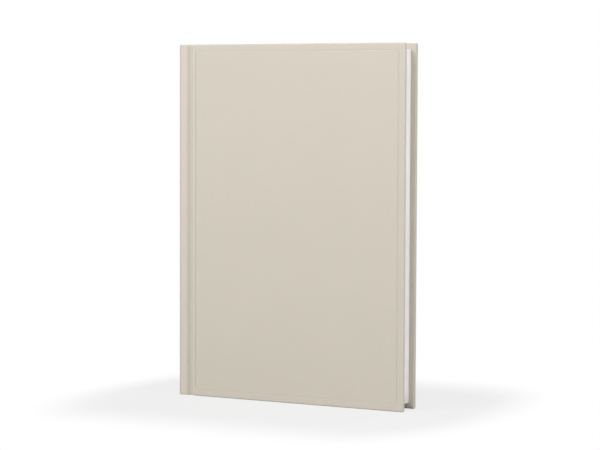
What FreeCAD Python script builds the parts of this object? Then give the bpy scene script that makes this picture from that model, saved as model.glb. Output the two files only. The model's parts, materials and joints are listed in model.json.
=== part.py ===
import FreeCAD, Part
import os
import Sketcher

# A case-bound planner standing on its tail edge: a trimmed block of pages between two cloth-covered
# boards that swing on pressed joints, with a flat board for a spine. Millimetres.
# Every piece is drawn with X from the outer face of the spine towards the fore edge, Y from the
# middle of the book towards the back cover and Z up from the tail edge. Each piece's Placement then
# brings the middle of the tail edge to the origin.

doc = FreeCAD.newDocument("planner")
sizes = doc.addObject("Spreadsheet::Sheet", "sizes")
drivingSizes = [
    ("pageWidth", 148, "A5 page, spine to fore edge"),
    ("pageHeight", 210, "A5 page, tail to head"),
    ("blockThickness", 11.8, "the pages, pressed together"),
    ("square", 3.5, "cover past the pages at head and tail"),
    ("foreSquare", 3.5, "cover past the pages at the fore edge"),
    ("boardThickness", 2.0, "grey board in each cover"),
    ("spineBoardThickness", 2.0, "grey board in the spine"),
    ("boardCorner", 1.2, "radius of a cover board's corners"),
    ("boardEdge", 0.4, "rounding of a cover board's edges"),
    ("clothThickness", 0.3, "covering material"),
    ("turnIn", 15, "covering folded over to the inside"),
    ("paperThickness", 0.15, "endpaper"),
    ("leafGap", 0.2, "air between a pasted-down leaf and the free one"),
    ("gauzeThickness", 0.3, "gauze glued round the spine of the block"),
    ("gauzeFlange", 22, "gauze past the hinge line, on the board"),
    ("gauzeMargin", 0.5, "gauze clear of the turned-in covering"),
    ("liningThickness", 0.15, "paper over the gauze on the spine"),
    ("hollowGap", 0.1, "play behind the spine board's turned-in covering"),
    ("bandDiameter", 1.6, "bead of a headband"),
    ("bandTape", 0.2, "tape that carries the bead, its thickness"),
    ("bandTapeDrop", 8, "tape glued down the spine"),
    ("ridgeDrop", 0.2, "spine's ridge below the face of the cover"),
    ("ridgeWidth", 4.9, "spine's ridge, from the spine's face to where it falls"),
    ("ridgeFall", 2.3, "run of the slope from the ridge into the joint"),
    ("ridgeRound", 3.2, "radius over the ridge's shoulder"),
    ("spineRound", 1.5, "radius of the spine board's long edges"),
    ("grooveWidth", 3.0, "flat of the joint, from the slope to the cover"),
    ("grooveRound", 0.7, "radius at the foot of the joint's walls"),
    ("hingeSlit", 0.1, "covering and paper clear of each hinge line"),
    ("trayPlay", 0.1, "pasted-down leaf clear of what it sinks between"),
    ("lineInset", 4.2, "pressed frame line from the head, tail and fore edges, to its middle"),
    ("lineJointInset", 2.0, "pressed frame line from the joint, to its middle"),
    ("lineWidth", 1.0, "pressed frame line"),
    ("lineDepth", 0.25, "pressed frame line"),
    ("lineCorner", 1.6, "radius of the frame line's corners, to its middle"),
]
for row, (alias, size, note) in enumerate(drivingSizes, start=1):
    sizes.set(f"A{row}", note)
    sizes.set(f"B{row}", str(size))
    sizes.setAlias(f"B{row}", alias)
doc.recompute()

# What follows from the driving sizes. A depth is measured inwards from a cover's outer face.
places = doc.addObject("App::VarSet", "places")


def place(name, rule):
    places.addProperty("App::PropertyFloat", name, "Places")
    places.setExpression(name, rule)
    doc.recompute()


place("boardDepth", "sizes.clothThickness + sizes.boardThickness")
place("pasteDepth", "boardDepth + max(sizes.clothThickness; sizes.gauzeThickness)")
place("coverDepth", "pasteDepth + sizes.paperThickness")
place("leafDepth", "coverDepth + sizes.leafGap")
place("blockDepth", "leafDepth + sizes.paperThickness")
place("halfThick", "blockDepth + sizes.blockThickness / 2")
place("spineDepth", "2 * sizes.clothThickness + sizes.spineBoardThickness")
place("blockSpine", "spineDepth + sizes.hollowGap"
      " + max(sizes.gauzeThickness + sizes.liningThickness; sizes.bandTape)")
place("foreEdge", "blockSpine + sizes.pageWidth")
place("coverWidth", "foreEdge + sizes.foreSquare")
place("headEdge", "sizes.square + sizes.pageHeight")
place("coverHeight", "headEdge + sizes.square")
place("grooveStart", "sizes.ridgeWidth + sizes.ridgeFall")
place("coverStart", "grooveStart + sizes.grooveWidth")
place("hingeX", "(grooveStart + coverStart) / 2")
place("grooveDepth", "boardDepth - sizes.clothThickness")
place("slopeDrop", "grooveDepth - sizes.ridgeDrop")
# tangent of half the slope's angle: how far a corner of the slope moves sideways for each mm inwards
place("slopeShift", "(sqrt(sizes.ridgeFall ^ 2 + slopeDrop ^ 2) - sizes.ridgeFall) / slopeDrop")
place("gauzeFoot", "sizes.turnIn + sizes.gauzeMargin")
place("gauzeHead", "coverHeight - gauzeFoot")
place("gauzeEdge", "hingeX + sizes.gauzeFlange")


def value(rule):
    return float(places.evalExpression(rule))


def newBody(label):
    body = doc.addObject("PartDesign::Body", label)
    body.Label = label
    body.setExpression("Placement.Base.x", "-places.coverWidth / 2")
    return body


def newSketch(body, name, planeRole, level):
    sketch = body.newObject("Sketcher::SketchObject", name)
    plane = [item for item in body.Origin.OriginFeatures if item.Role == planeRole][0]
    sketch.AttachmentSupport = [(plane, "")]
    sketch.MapMode = "FlatFace"
    sketch.setExpression("AttachmentOffset.Base.z", level)
    return sketch


def fix(sketch, kind, geometry, point, rule):
    """Binds one coordinate of a point to a rule, or puts the point on the axis where it is nought."""
    size = value(rule)
    if abs(size) < 1e-9:
        axis = -2 if kind == "DistanceX" else -1
        sketch.addConstraint(Sketcher.Constraint("PointOnObject", geometry, point, axis))
    else:
        index = sketch.addConstraint(Sketcher.Constraint(kind, -1, 1, geometry, point, size))
        sketch.setExpression(f"Constraints[{index}]", rule)


def drawOutline(sketch, corners):
    """A closed outline of straight lines through corners, each a pair of rules for x and y."""
    spots = [FreeCAD.Vector(value(x), value(y), 0) for x, y in corners]
    following = spots[1:] + spots[:1]
    lines = [sketch.addGeometry(Part.LineSegment(a, b), False) for a, b in zip(spots, following)]
    for i, (x, y) in enumerate(corners):
        sketch.addConstraint(Sketcher.Constraint("Coincident", lines[i - 1], 2, lines[i], 1))
        fix(sketch, "DistanceX", lines[i], 1, x)
        fix(sketch, "DistanceY", lines[i], 1, y)


def extrude(body, sketch, length, cut, reverse):
    """Pads or pockets a sketch, and makes sure that it added or took away material."""
    before = body.Shape.Volume if body.Tip else 0
    kind = "PartDesign::Pocket" if cut else "PartDesign::Pad"
    feature = body.newObject(kind, sketch.Name + ("_pocket" if cut else "_pad"))
    feature.Profile = sketch
    feature.Reversed = reverse
    feature.setExpression("Length", length)
    doc.recompute()
    change = body.Shape.Volume - before
    if change * (-1 if cut else 1) <= 0:
        raise ValueError(f"{feature.Name} changes nothing")
    return feature


def upright(body, name, outlines, foot, head, cut=False):
    """Outlines in X and Y, carried up from foot to head."""
    sketch = newSketch(body, name, "XY_Plane", foot)
    for outline in outlines:
        drawOutline(sketch, outline)
    return extrude(body, sketch, f"{head} - ({foot})", cut, cut)


def layer(body, name, outlines, side, outer, inner, cut=False):
    """Outlines in X and Z, between two depths under the face of the front or the back cover."""
    sign = "" if side == "front" else "-"
    sketch = newSketch(body, name, "XZ_Plane", f"{sign}(places.halfThick - ({inner}))")
    for outline in outlines:
        drawOutline(sketch, outline)
    # the sketch faces the front, so a pad goes outwards there by itself and a pocket goes inwards
    reverse = (side == "front") == cut
    return extrude(body, sketch, f"{inner} - ({outer})", cut, reverse)


def rectangle(x0, x1, y0, y1):
    return [(x0, y0), (x1, y0), (x1, y1), (x0, y1)]


def near(a, b):
    return abs(a - b) < 1e-4


def roundEdges(body, name, radius, wanted):
    """Rounds those edges of the body so far that the test picks by the edge's box."""
    tip = body.Tip
    edges = enumerate(tip.Shape.Edges, start=1)
    names = [f"Edge{index}" for index, edge in edges if wanted(edge.BoundBox)]
    fillet = body.newObject("PartDesign::Fillet", name)
    fillet.Base = (tip, names)
    fillet.setExpression("Radius", radius)
    doc.recompute()
    return fillet


def roundCorners(body, name, radius, corners, plane="XY"):
    """Rounds the edges that stand on a plane at the corners of an outline."""
    spots = [(value(x), value(y)) for x, y in corners]

    def atCorner(box):
        across = (box.YMin, box.YMax) if plane == "XY" else (box.ZMin, box.ZMax)
        return any(near(box.XMin, x) and near(box.XMax, x) and near(across[0], y)
                   and near(across[1], y) for x, y in spots)

    return roundEdges(body, name, radius, atCorner)


def atY(depth, side):
    """Y rule of a depth under the front or the back cover's face."""
    if side == "front":
        return f"({depth}) - places.halfThick"
    return f"places.halfThick - ({depth})"


def makeTextBlock():
    block = doc.addObject("Part::Box", "text_block")
    block.Label = "text_block"
    block.setExpression("Length", "sizes.pageWidth")
    block.setExpression("Width", "sizes.blockThickness")
    block.setExpression("Height", "sizes.pageHeight")
    block.setExpression("Placement.Base.x", "places.blockSpine - places.coverWidth / 2")
    block.setExpression("Placement.Base.y", "-sizes.blockThickness / 2")
    block.setExpression("Placement.Base.z", "sizes.square")
    return block


def makeFlyleaf(side):
    """The free half of an endpaper, with its fold at the spine and the strip that runs back over it
    as far as the hinge line."""
    body = newBody(f"{side}_flyleaf")
    stripEnd = "places.hingeX - sizes.hingeSlit"
    foldInner = "places.blockSpine + sizes.paperThickness"
    corners = [
        ("places.blockSpine", atY("places.pasteDepth", side)),
        (stripEnd, atY("places.pasteDepth", side)),
        (stripEnd, atY("places.coverDepth", side)),
        (foldInner, atY("places.coverDepth", side)),
        (foldInner, atY("places.leafDepth", side)),
        ("places.foreEdge", atY("places.leafDepth", side)),
        ("places.foreEdge", atY("places.blockDepth", side)),
        ("places.blockSpine", atY("places.blockDepth", side)),
    ]
    upright(body, f"{side}_flyleaf_section", [corners], "sizes.square", "places.headEdge")
    return body


def makeSpineGauze():
    """Open cloth glued round the spine of the block, in as far as the hinge lines."""
    body = newBody("spine_gauze")
    end = "places.hingeX - sizes.hingeSlit"
    back = "places.blockSpine - sizes.gauzeThickness"
    over = "places.pasteDepth - sizes.gauzeThickness"
    corners = [
        (back, atY(over, "front")),
        (end, atY(over, "front")),
        (end, atY("places.pasteDepth", "front")),
        ("places.blockSpine", atY("places.pasteDepth", "front")),
        ("places.blockSpine", atY("places.pasteDepth", "back")),
        (end, atY("places.pasteDepth", "back")),
        (end, atY(over, "back")),
        (back, atY(over, "back")),
    ]
    upright(body, "spine_gauze_section", [corners], "places.gauzeFoot", "places.gauzeHead")
    return body


def makeSpineLining():
    """Strip of paper over the gauze."""
    body = newBody("spine_lining")
    over = "places.blockSpine - sizes.gauzeThickness"
    strip = rectangle(f"{over} - sizes.liningThickness", over,
                      atY("places.pasteDepth", "front"), atY("places.pasteDepth", "back"))
    upright(body, "spine_lining_section", [strip], "places.gauzeFoot", "places.gauzeHead")
    return body


def makeBand(label, seat, tapeFoot):
    """A bead across the end of the block at the spine, on a tape glued to the spine."""
    over = "places.blockSpine - sizes.bandTape - places.coverWidth / 2"
    bead = doc.addObject("Part::Cylinder", label + "_bead")
    bead.setExpression("Radius", "sizes.bandDiameter / 2")
    bead.setExpression("Height", "sizes.blockThickness")
    bead.Placement.Rotation = FreeCAD.Rotation(FreeCAD.Vector(1, 0, 0), 90)
    bead.setExpression("Placement.Base.x", f"{over} + sizes.bandDiameter / 2")
    bead.setExpression("Placement.Base.y", "sizes.blockThickness / 2")
    bead.setExpression("Placement.Base.z", seat)
    tape = doc.addObject("Part::Box", label + "_tape")
    tape.setExpression("Length", "sizes.bandTape")
    tape.setExpression("Width", "sizes.blockThickness")
    tape.setExpression("Height", "sizes.bandTapeDrop + sizes.bandDiameter / 2")
    tape.setExpression("Placement.Base.x", over)
    tape.setExpression("Placement.Base.y", "-sizes.blockThickness / 2")
    tape.setExpression("Placement.Base.z", tapeFoot)
    band = doc.addObject("Part::Fuse", label)
    band.Label = label
    band.Base = tape
    band.Tool = bead
    return band


def makeSpineBoard():
    body = newBody("spine_board")
    edge = "sizes.ridgeDrop + sizes.clothThickness"
    section = rectangle("sizes.clothThickness", "sizes.clothThickness + sizes.spineBoardThickness",
                        atY(edge, "front"), atY(edge, "back"))
    upright(body, "spine_board_section", [section],
            "sizes.clothThickness", "places.coverHeight - sizes.clothThickness")
    roundCorners(body, "spine_board_round", "sizes.spineRound", [section[0], section[3]])
    return body


def wrapBoard(label, blank, board):
    """Covering that lies on its board all round: the blank less the board."""
    covering = doc.addObject("Part::Cut", label)
    covering.Label = label
    covering.Base = blank
    covering.Tool = board
    return covering


def ridgePath(side, inwards, spineX):
    """The covering's line from the hinge to the foot of the slope, over the ridge's shoulder and to
    the edge of the spine, moved inwards by a rule."""
    shift = f"({inwards}) * places.slopeShift"
    floor = atY(f"places.grooveDepth + {inwards}", side)
    crest = atY(f"sizes.ridgeDrop + {inwards}", side)
    return [
        ("places.hingeX - sizes.hingeSlit", floor),
        (f"places.grooveStart - {shift}", floor),
        (f"sizes.ridgeWidth - {shift}", crest),
        (spineX, crest),
    ]


def sleeve(outer, inner):
    """Closed outline between two pairs of lines that run from hinge to hinge round the spine."""
    return outer[0] + outer[1][::-1] + inner[1] + inner[0][::-1]


def roundSleeve(body, name, paths, inwards):
    """Rounds the foot and the shoulder of the slope on both sides of the book."""
    roundCorners(body, f"{name}_feet", f"sizes.grooveRound + {inwards}", [path[1] for path in paths])
    roundCorners(body, f"{name}_shoulders", f"sizes.ridgeRound - ({inwards})",
                 [path[2] for path in paths])


def makeSpineCloth(board):
    """Covering over the spine board and down into both joints, as far as the hinge lines, and turned
    in at head and tail."""
    body = newBody("spine_cloth_blank")
    cloth = "sizes.clothThickness"
    sides = ("front", "back")
    face = [ridgePath(side, "0", "0") for side in sides]
    oneDeep = [ridgePath(side, cloth, cloth) for side in sides]
    twoDeep = [ridgePath(side, f"2 * {cloth}", "places.spineDepth") for side in sides]
    upright(body, "spine_cloth_sleeve", [sleeve(face, twoDeep)], "0", "places.coverHeight")
    roundSleeve(body, "spine_cloth_face", face, "0")
    roundSleeve(body, "spine_cloth_turn_in", twoDeep, f"2 * {cloth}")
    roundCorners(body, "spine_cloth_edges", f"sizes.spineRound + {cloth}", [path[3] for path in face])
    upright(body, "spine_cloth_inside", [sleeve(oneDeep, twoDeep)],
            "sizes.turnIn", "places.coverHeight - sizes.turnIn", cut=True)
    roundSleeve(body, "spine_cloth_back", oneDeep, cloth)
    return wrapBoard("spine_cloth", body, board)


def coverOutline(inset):
    """Outline of a cover, or of its board, from the joint to the fore edge."""
    return rectangle(f"places.coverStart + {inset}", f"places.coverWidth - {inset}",
                     inset, f"places.coverHeight - {inset}")


def foreCorners(outline):
    return outline[1:3]


def pressLine(body, name, half, bottom):
    """Presses the frame line into a cover's face: a groove half a width each side of its middle."""
    outlines = []
    for spread in (f"({half})", f"-({half})"):
        outlines.append(rectangle(f"places.coverStart + sizes.lineJointInset - {spread}",
                                  f"places.coverWidth - sizes.lineInset + {spread}",
                                  f"sizes.lineInset - {spread}",
                                  f"places.coverHeight - sizes.lineInset + {spread}"))
    layer(body, name, outlines, "front", "0", bottom, cut=True)
    roundCorners(body, f"{name}_outer", f"sizes.lineCorner + {half}", outlines[0], "XZ")
    roundCorners(body, f"{name}_inner", f"sizes.lineCorner - {half}", outlines[1], "XZ")


def makeBoard(side):
    body = newBody(f"{side}_board")
    cloth = "sizes.clothThickness"
    outline = coverOutline(cloth)
    layer(body, f"{side}_board_sheet", [outline], side, cloth, "places.boardDepth")
    roundCorners(body, f"{side}_board_corners", "sizes.boardCorner", foreCorners(outline), "XZ")
    faces = [abs(value(atY(cloth, side))), abs(value(atY("places.boardDepth", side)))]

    def onFace(box):
        return near(box.YMin, box.YMax) and any(near(abs(box.YMin), face) for face in faces)

    roundEdges(body, f"{side}_board_round", "sizes.boardEdge", onFace)
    if side == "front":
        pressLine(body, "front_board_line", "(sizes.lineWidth + sizes.clothThickness) / 2",
                  "sizes.clothThickness + sizes.lineDepth")
    return body


def makeCoverCloth(side, board):
    """Covering over a cover board, down the joint as far as the hinge line, and turned in at head,
    tail and fore edge."""
    cloth = "sizes.clothThickness"
    blank = newBody(f"{side}_cloth_blank")
    outline = coverOutline("0")
    layer(blank, f"{side}_cloth_wrap", [outline], side, "0", f"places.boardDepth + {cloth}")
    roundCorners(blank, f"{side}_cloth_corners", f"sizes.boardCorner + {cloth}",
                 foreCorners(outline), "XZ")
    outerFace = value("places.halfThick")
    innerFace = abs(value(atY(f"places.boardDepth + {cloth}", side)))
    start = value("places.coverStart")

    def onFace(box):
        if not near(box.YMin, box.YMax):
            return False
        atJoint = near(box.XMin, start) and near(box.XMax, start)
        return near(abs(box.YMin), outerFace) or (near(abs(box.YMin), innerFace) and not atJoint)

    roundEdges(blank, f"{side}_cloth_round", f"sizes.boardEdge + {cloth}", onFace)
    # the joint, with a bevel where the covering bridges the foot of the board's wall
    inside = atY(f"places.boardDepth + {cloth}", side)
    bevelTop = atY("places.grooveDepth - sizes.grooveRound", side)
    joint = [
        ("places.hingeX + sizes.hingeSlit", atY("places.grooveDepth", side)),
        ("places.coverStart - sizes.grooveRound", atY("places.grooveDepth", side)),
        ("places.coverStart", bevelTop),
        (f"places.coverStart + {cloth}", bevelTop),
        (f"places.coverStart + {cloth}", inside),
        ("places.hingeX + sizes.hingeSlit", inside),
    ]
    upright(blank, f"{side}_cloth_joint", [joint], "0", "places.coverHeight")
    window = rectangle("places.hingeX", "places.coverWidth - sizes.turnIn",
                       "sizes.turnIn", "places.coverHeight - sizes.turnIn")
    layer(blank, f"{side}_cloth_window", [window], side,
          "places.boardDepth", f"places.boardDepth + {cloth}", cut=True)
    if side == "front":
        pressLine(blank, "front_cloth_line", "sizes.lineWidth / 2", "sizes.lineDepth")
    return wrapBoard(f"{side}_cover_cloth", blank, board)


def makeHingeGauze(side):
    """The spine's gauze past the hinge line, glued to the board between the turned-in coverings."""
    body = newBody(f"{side}_hinge_gauze")
    strip = rectangle("places.hingeX + sizes.hingeSlit", "places.gauzeEdge",
                      "places.gauzeFoot", "places.gauzeHead")
    layer(body, f"{side}_hinge_gauze_strip", [strip], side,
          "places.boardDepth", "places.boardDepth + sizes.gauzeThickness")
    return body


def makePastedown(side):
    """The glued half of an endpaper: it lies over the gauze and the turned-in covering, and sinks
    between them on to the bare board."""
    body = newBody(f"{side}_pastedown")
    sheet = rectangle("places.hingeX + sizes.hingeSlit", "places.foreEdge",
                      "sizes.square", "places.headEdge")
    layer(body, f"{side}_pastedown_sheet", [sheet], side, "places.pasteDepth", "places.coverDepth")
    trays = []
    for play in ("sizes.trayPlay", "(sizes.trayPlay + sizes.paperThickness)"):
        trays.append(rectangle(f"places.gauzeEdge + {play}",
                               f"places.coverWidth - sizes.turnIn - {play}",
                               f"sizes.turnIn + {play}",
                               f"places.coverHeight - sizes.turnIn - {play}"))
    layer(body, f"{side}_pastedown_sunk", [trays[0]], side, "places.boardDepth", "places.coverDepth")
    layer(body, f"{side}_pastedown_tray", [trays[1]], side,
          "places.boardDepth + sizes.paperThickness", "places.coverDepth", cut=True)
    return body


spineBoard = makeSpineBoard()
subParts = [
    makeTextBlock(),
    makeFlyleaf("front"),
    makeFlyleaf("back"),
    makeSpineGauze(),
    makeSpineLining(),
    makeBand("headband", "places.headEdge + sizes.bandDiameter / 2",
             "places.headEdge - sizes.bandTapeDrop"),
    makeBand("tailband", "sizes.square - sizes.bandDiameter / 2",
             "sizes.square - sizes.bandDiameter / 2"),
    spineBoard,
    makeSpineCloth(spineBoard),
]
for side in ("front", "back"):
    board = makeBoard(side)
    subParts += [board, makeCoverCloth(side, board), makeHingeGauze(side), makePastedown(side)]
doc.recompute()

for item in doc.Objects:
    if "Invalid" in item.State or "Error" in item.State:
        raise ValueError(f"{item.Name} did not compute: {item.State}")
for piece in subParts:
    if piece.Shape.isNull() or not piece.Shape.isValid():
        raise ValueError(f"{piece.Label} has no valid shape")

os.makedirs("parts", exist_ok=True)
for piece in subParts:
    piece.Shape.exportStep(f"parts/{piece.Label}.step")
    print(piece.Label, len(piece.Shape.Solids), round(piece.Shape.Volume, 1))
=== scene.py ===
import json
import math

import bmesh
import bpy
import numpy as np
from mathutils import Matrix, Vector


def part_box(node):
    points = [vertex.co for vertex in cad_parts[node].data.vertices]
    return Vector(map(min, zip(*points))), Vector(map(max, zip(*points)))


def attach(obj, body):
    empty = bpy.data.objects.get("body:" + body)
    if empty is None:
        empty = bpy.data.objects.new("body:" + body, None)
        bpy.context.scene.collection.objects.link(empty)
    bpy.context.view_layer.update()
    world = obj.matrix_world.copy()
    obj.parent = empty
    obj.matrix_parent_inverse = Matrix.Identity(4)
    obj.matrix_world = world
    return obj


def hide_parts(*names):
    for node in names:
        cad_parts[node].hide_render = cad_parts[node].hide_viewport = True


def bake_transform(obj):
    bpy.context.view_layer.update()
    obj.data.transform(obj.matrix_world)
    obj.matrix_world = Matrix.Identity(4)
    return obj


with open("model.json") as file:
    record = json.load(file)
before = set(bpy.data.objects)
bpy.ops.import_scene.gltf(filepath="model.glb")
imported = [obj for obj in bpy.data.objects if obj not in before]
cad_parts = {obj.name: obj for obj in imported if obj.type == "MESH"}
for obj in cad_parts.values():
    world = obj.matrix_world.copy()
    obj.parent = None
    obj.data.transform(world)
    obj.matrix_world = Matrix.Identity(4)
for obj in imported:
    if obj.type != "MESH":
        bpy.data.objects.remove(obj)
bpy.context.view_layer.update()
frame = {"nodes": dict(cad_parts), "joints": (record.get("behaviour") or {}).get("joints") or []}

# Lengths in the dictionaries are millimetres. A point of the book is (x, depth, z): x from the face of
# the spine towards the fore edge, depth inwards from a cover's face, z up from the tail edge.
mm = 0.001
sides = ("front", "back")

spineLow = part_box("spine_cloth")[0]
frontLow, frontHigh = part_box("front_cover_cloth")
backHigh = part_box("back_cover_cloth")[1]
blockLow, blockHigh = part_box("text_block")
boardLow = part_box("front_board")[0]
pasteLow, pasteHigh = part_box("front_pastedown")
gauzeLow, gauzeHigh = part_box("front_hinge_gauze")
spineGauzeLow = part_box("spine_gauze")[0]
frontHinge = next(joint for joint in frame["joints"] if joint["child"] == "front_cover")


def pastSpine(x):
    # from the frame's metres to millimetres past the face of the spine
    return (x - spineLow.x) / mm


def belowFace(y):
    # from the frame's metres to millimetres below the front cover's face
    return (y - frontLow.y) / mm


book = {
    "spineX": spineLow.x / mm,
    "faceY": {"front": frontLow.y / mm, "back": backHigh.y / mm},
    "width": pastSpine(frontHigh.x),
    "height": frontHigh.z / mm,
    "shellDepth": belowFace(frontHigh.y),  # a cover without its endpaper
    "ridgeDrop": belowFace(spineLow.y),
    "layer": 0.3,          # one layer of covering with its glue
}
# the board starts one layer in from its wall, and the joint's flat has the hinge in its middle
book["coverStart"] = pastSpine(boardLow.x) - book["layer"]
book["grooveStart"] = 2 * pastSpine(frontHinge["pos_m"][0]) - book["coverStart"]
print("book", book)


def smoothStep(low, high, value):
    # 0 below low, 1 above high, and t * t * (3 - 2 t) between
    t = np.clip((value - low) / (high - low), 0, 1)
    return t * t * (3 - 2 * t)


def bell(middle, width, value):
    # exp(-t * t), with t the distance from the middle in widths
    return np.exp(-((value - middle) / width) ** 2)


def stacked(*parts):
    # arrays brought to one shape and set side by side as coordinates
    return np.stack(np.broadcast_arrays(*parts), -1)


def spaced(*stretches):
    # even steps within each stretch of (start, end, count)
    return np.concatenate([np.linspace(*stretch) for stretch in stretches])


def squeezed(values, start, end, limit):
    # values above start are drawn in so that end comes to limit
    return np.where(values > start, start + (values - start) * (limit - start) / (end - start), values)


def runLength(points):
    # distance along a row of points, from the first
    steps = np.linalg.norm(np.diff(points, axis=0), axis=1)
    return np.concatenate([[0], np.cumsum(steps)])


def toRow(x, depth, z, side):
    # from the book's millimetres to the frame's metres
    x, depth, z = np.broadcast_arrays(x, depth, z)
    y = book["faceY"][side] + (depth if side == "front" else -depth)
    return np.stack([book["spineX"] + x, y, z], -1) * mm


def toHead(points):
    # points at the tail, mirrored to the head and in the other order; the last coordinate is z
    points = points[::-1].copy()
    points[..., -1] = book["height"] - points[..., -1]
    return points


def leftOf(way):
    # a quarter turn anticlockwise
    return np.array([-way[1], way[0]])


def filletPath(corners, radii, arcSteps):
    # points along straight runs, with an arc of its radius at each inner corner, and the normal to the
    # left of the way at each point
    corners = np.array(corners, float)
    ways = np.diff(corners, axis=0)
    ways /= np.linalg.norm(ways, axis=1)[:, None]
    points, normals = [corners[0]], [leftOf(ways[0])]
    for corner, wayIn, wayOut, radius in zip(corners[1:], ways, ways[1:], radii):
        turn = math.atan2(wayIn[0] * wayOut[1] - wayIn[1] * wayOut[0], wayIn @ wayOut)
        inside = leftOf(wayIn) * np.sign(turn)
        centre = corner - wayIn * radius * math.tan(abs(turn) / 2) + inside * radius
        angles = np.linspace(0, turn, arcSteps + 1)[:, None]
        spoke = -inside * np.cos(angles) - leftOf(inside) * np.sin(angles)
        points += list(centre + radius * spoke)
        normals += list(-spoke * np.sign(turn))
    points.append(corners[-1])
    normals.append(leftOf(ways[-1]))
    return np.array(points), np.array(normals)


def gridFaces(rows, columns, start=0, turned=False):
    # four corners of every cell of a grid whose points are numbered row by row
    index = start + np.arange(rows * columns).reshape(rows, columns)
    cells = [index[:-1, :-1], index[:-1, 1:], index[1:, 1:], index[1:, :-1]]
    quads = np.stack(cells, -1).reshape(-1, 4)
    return quads[:, ::-1] if turned else quads


def makeMesh(name, points, faces, sheet=None, tone=None):
    # points (n, 3) in metres, faces (m, 4); sheet (n, 2) is where each point lies on the flat material
    # and tone (n, 3) how much lighter or darker it is painted there in red, green and blue, the covering's
    # painted light and shade and its tint
    mesh = bpy.data.meshes.new(name)
    mesh.vertices.add(len(points))
    mesh.vertices.foreach_set("co", np.asarray(points, np.float32).ravel())
    mesh.loops.add(faces.size)
    mesh.loops.foreach_set("vertex_index", faces.astype(np.int32).ravel())
    mesh.polygons.add(len(faces))
    mesh.polygons.foreach_set("loop_start", np.arange(0, faces.size, 4, dtype=np.int32))
    mesh.update(calc_edges=True)
    if sheet is not None:
        layer = mesh.uv_layers.new(name="sheet")
        layer.data.foreach_set("uv", np.asarray(sheet, np.float32)[faces.ravel()].ravel())
    if tone is not None:
        layer = mesh.attributes.new("tone", "FLOAT_VECTOR", "POINT")
        layer.data.foreach_set("vector", np.asarray(tone, np.float32).ravel())
    return mesh


def addObject(name, data):
    # an object with this data, in the scene
    made = bpy.data.objects.new(name, data)
    bpy.context.scene.collection.objects.link(made)
    return made


def makePiece(name, mesh, thickness=0.0, sharpAbove=38):
    # merges doubled points, gives the sheet a wall on its inner side, and shades it smooth
    work = bmesh.new()
    work.from_mesh(mesh)
    bmesh.ops.remove_doubles(work, verts=work.verts, dist=2e-6)
    bmesh.ops.dissolve_degenerate(work, edges=work.edges, dist=1e-7)
    work.to_mesh(mesh)
    work.free()
    piece = addObject(name, mesh)
    if thickness:
        wall = piece.modifiers.new("wall", "SOLIDIFY")
        wall.thickness = thickness * mm
        wall.offset = -1
        depsgraph = bpy.context.evaluated_depsgraph_get()
        piece.data = bpy.data.meshes.new_from_object(piece.evaluated_get(depsgraph))
        piece.modifiers.clear()
        piece.data.name = name
    piece.data.shade_smooth()
    piece.data.set_sharp_from_angle(angle=math.radians(sharpAbove))
    return piece


def makeSheet(name, side, x, depth, z, turned, thickness, run=None):
    # columns x and rows z at their depths, with a wall; run is the way along columns that go round
    grid = toRow(x[None, :], depth, z[:, None], side)
    sheet = stacked((x if run is None else run)[None, :], z[:, None])
    mesh = makeMesh(name, grid.reshape(-1, 3), gridFaces(len(z), len(x), 0, turned),
                    sheet.reshape(-1, 2) * mm)
    return makePiece(name, mesh, thickness)


# The covering. Its edge goes round the boards with a soft radius and is turned in on the inside.
covering = {
    "thickness": 0.28,
    "turnIn": 15.0,
    "edgeRound": 0.7,      # over the edge of a board
    "foldRound": 0.28,     # where the covering is folded on itself
    "cornerRound": 1.0,
    "seamDepth": 3.2,      # on the flat of the spine
    "spineCornerRound": 2.0,
    "ridgeFall": 2.3,      # run of the slope into the groove
    "ridgeRound": 4.5,
    "footRound": 1.2,
    "grooveDepth": 2.0,
    "grooveRound": 0.7,
    "mitreRise": 0.14,     # of the fold across the turned-in covering at a fore corner
    "mitreWidth": 0.5,
    "margin": 8.0,         # width of the band of rings along the edges
    "fineStep": 0.12,      # between columns and between rings where the frame line is pressed
    "grooveColumns": 12,   # on the flat of the groove, where it bends as the cover opens
    "spineColumns": 18,
    "arcPoints": 9,
    "quarterSteps": 6,
}
# Painted highlights on the ridge and at the board's edge by the joint; painted shade at the spine's edge,
# on the fore edge's wall and on the turned-in flap; a slight green and blue tint in the groove.
clothPaintedLightAndTint = {              # painted highlights and painted shade on the covering, and a tint in the groove
    "ridge": (0.07, 0.02, 0.035),
    "spineEdgeShade": (-0.27, -0.27, -0.27),
    "groove": (0.0, 0.02, 0.01),
    "jointEdgeHighlight": (0.16, 0.16, 0.16),
    "foreWallShade": (-0.15, -0.15, -0.15),
    "flap": (-0.05, -0.035, -0.04),
}
# where each painted highlight, painted shade and the groove's tint lies
tonePlace = {
    "ridge": (0.8, 2.4, 4.2, 6.2),  # past the spine's face: starts, is full, fades, ends
    "spineEdgeShade": (0.9, 0.6),        # middle below the face, width
    "spineReach": 1.5,
    "groove": (1.2, 0.3),           # runs before the groove and past the board's start
    "jointEdgeHighlight": (0.5, 0.35),       # middle past the board's start, width
    "foreWallShade": (0.5, 0.1, 0.7),    # run in from the fore edge, depths where it starts and is full
    "flap": 0.8,
}
frameLine = {
    "inset": 4.2,          # from head, tail and fore edges to the middle of the line
    "jointInset": 2.0,
    "flat": 0.12,          # half of the flat bottom
    "half": 0.55,
    "corner": 1.6,
    "blend": 3.0,          # run near a corner over which one side's depth becomes the other's
    "depth": {"joint": 0.34, "fore": 0.3, "head": 0.075, "tail": 0.04},
    # painted shade in the pressed line: how much darker each side is
    "tone": {"joint": -0.08, "fore": -0.04, "head": -0.02, "tail": 0.0},
}


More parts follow.
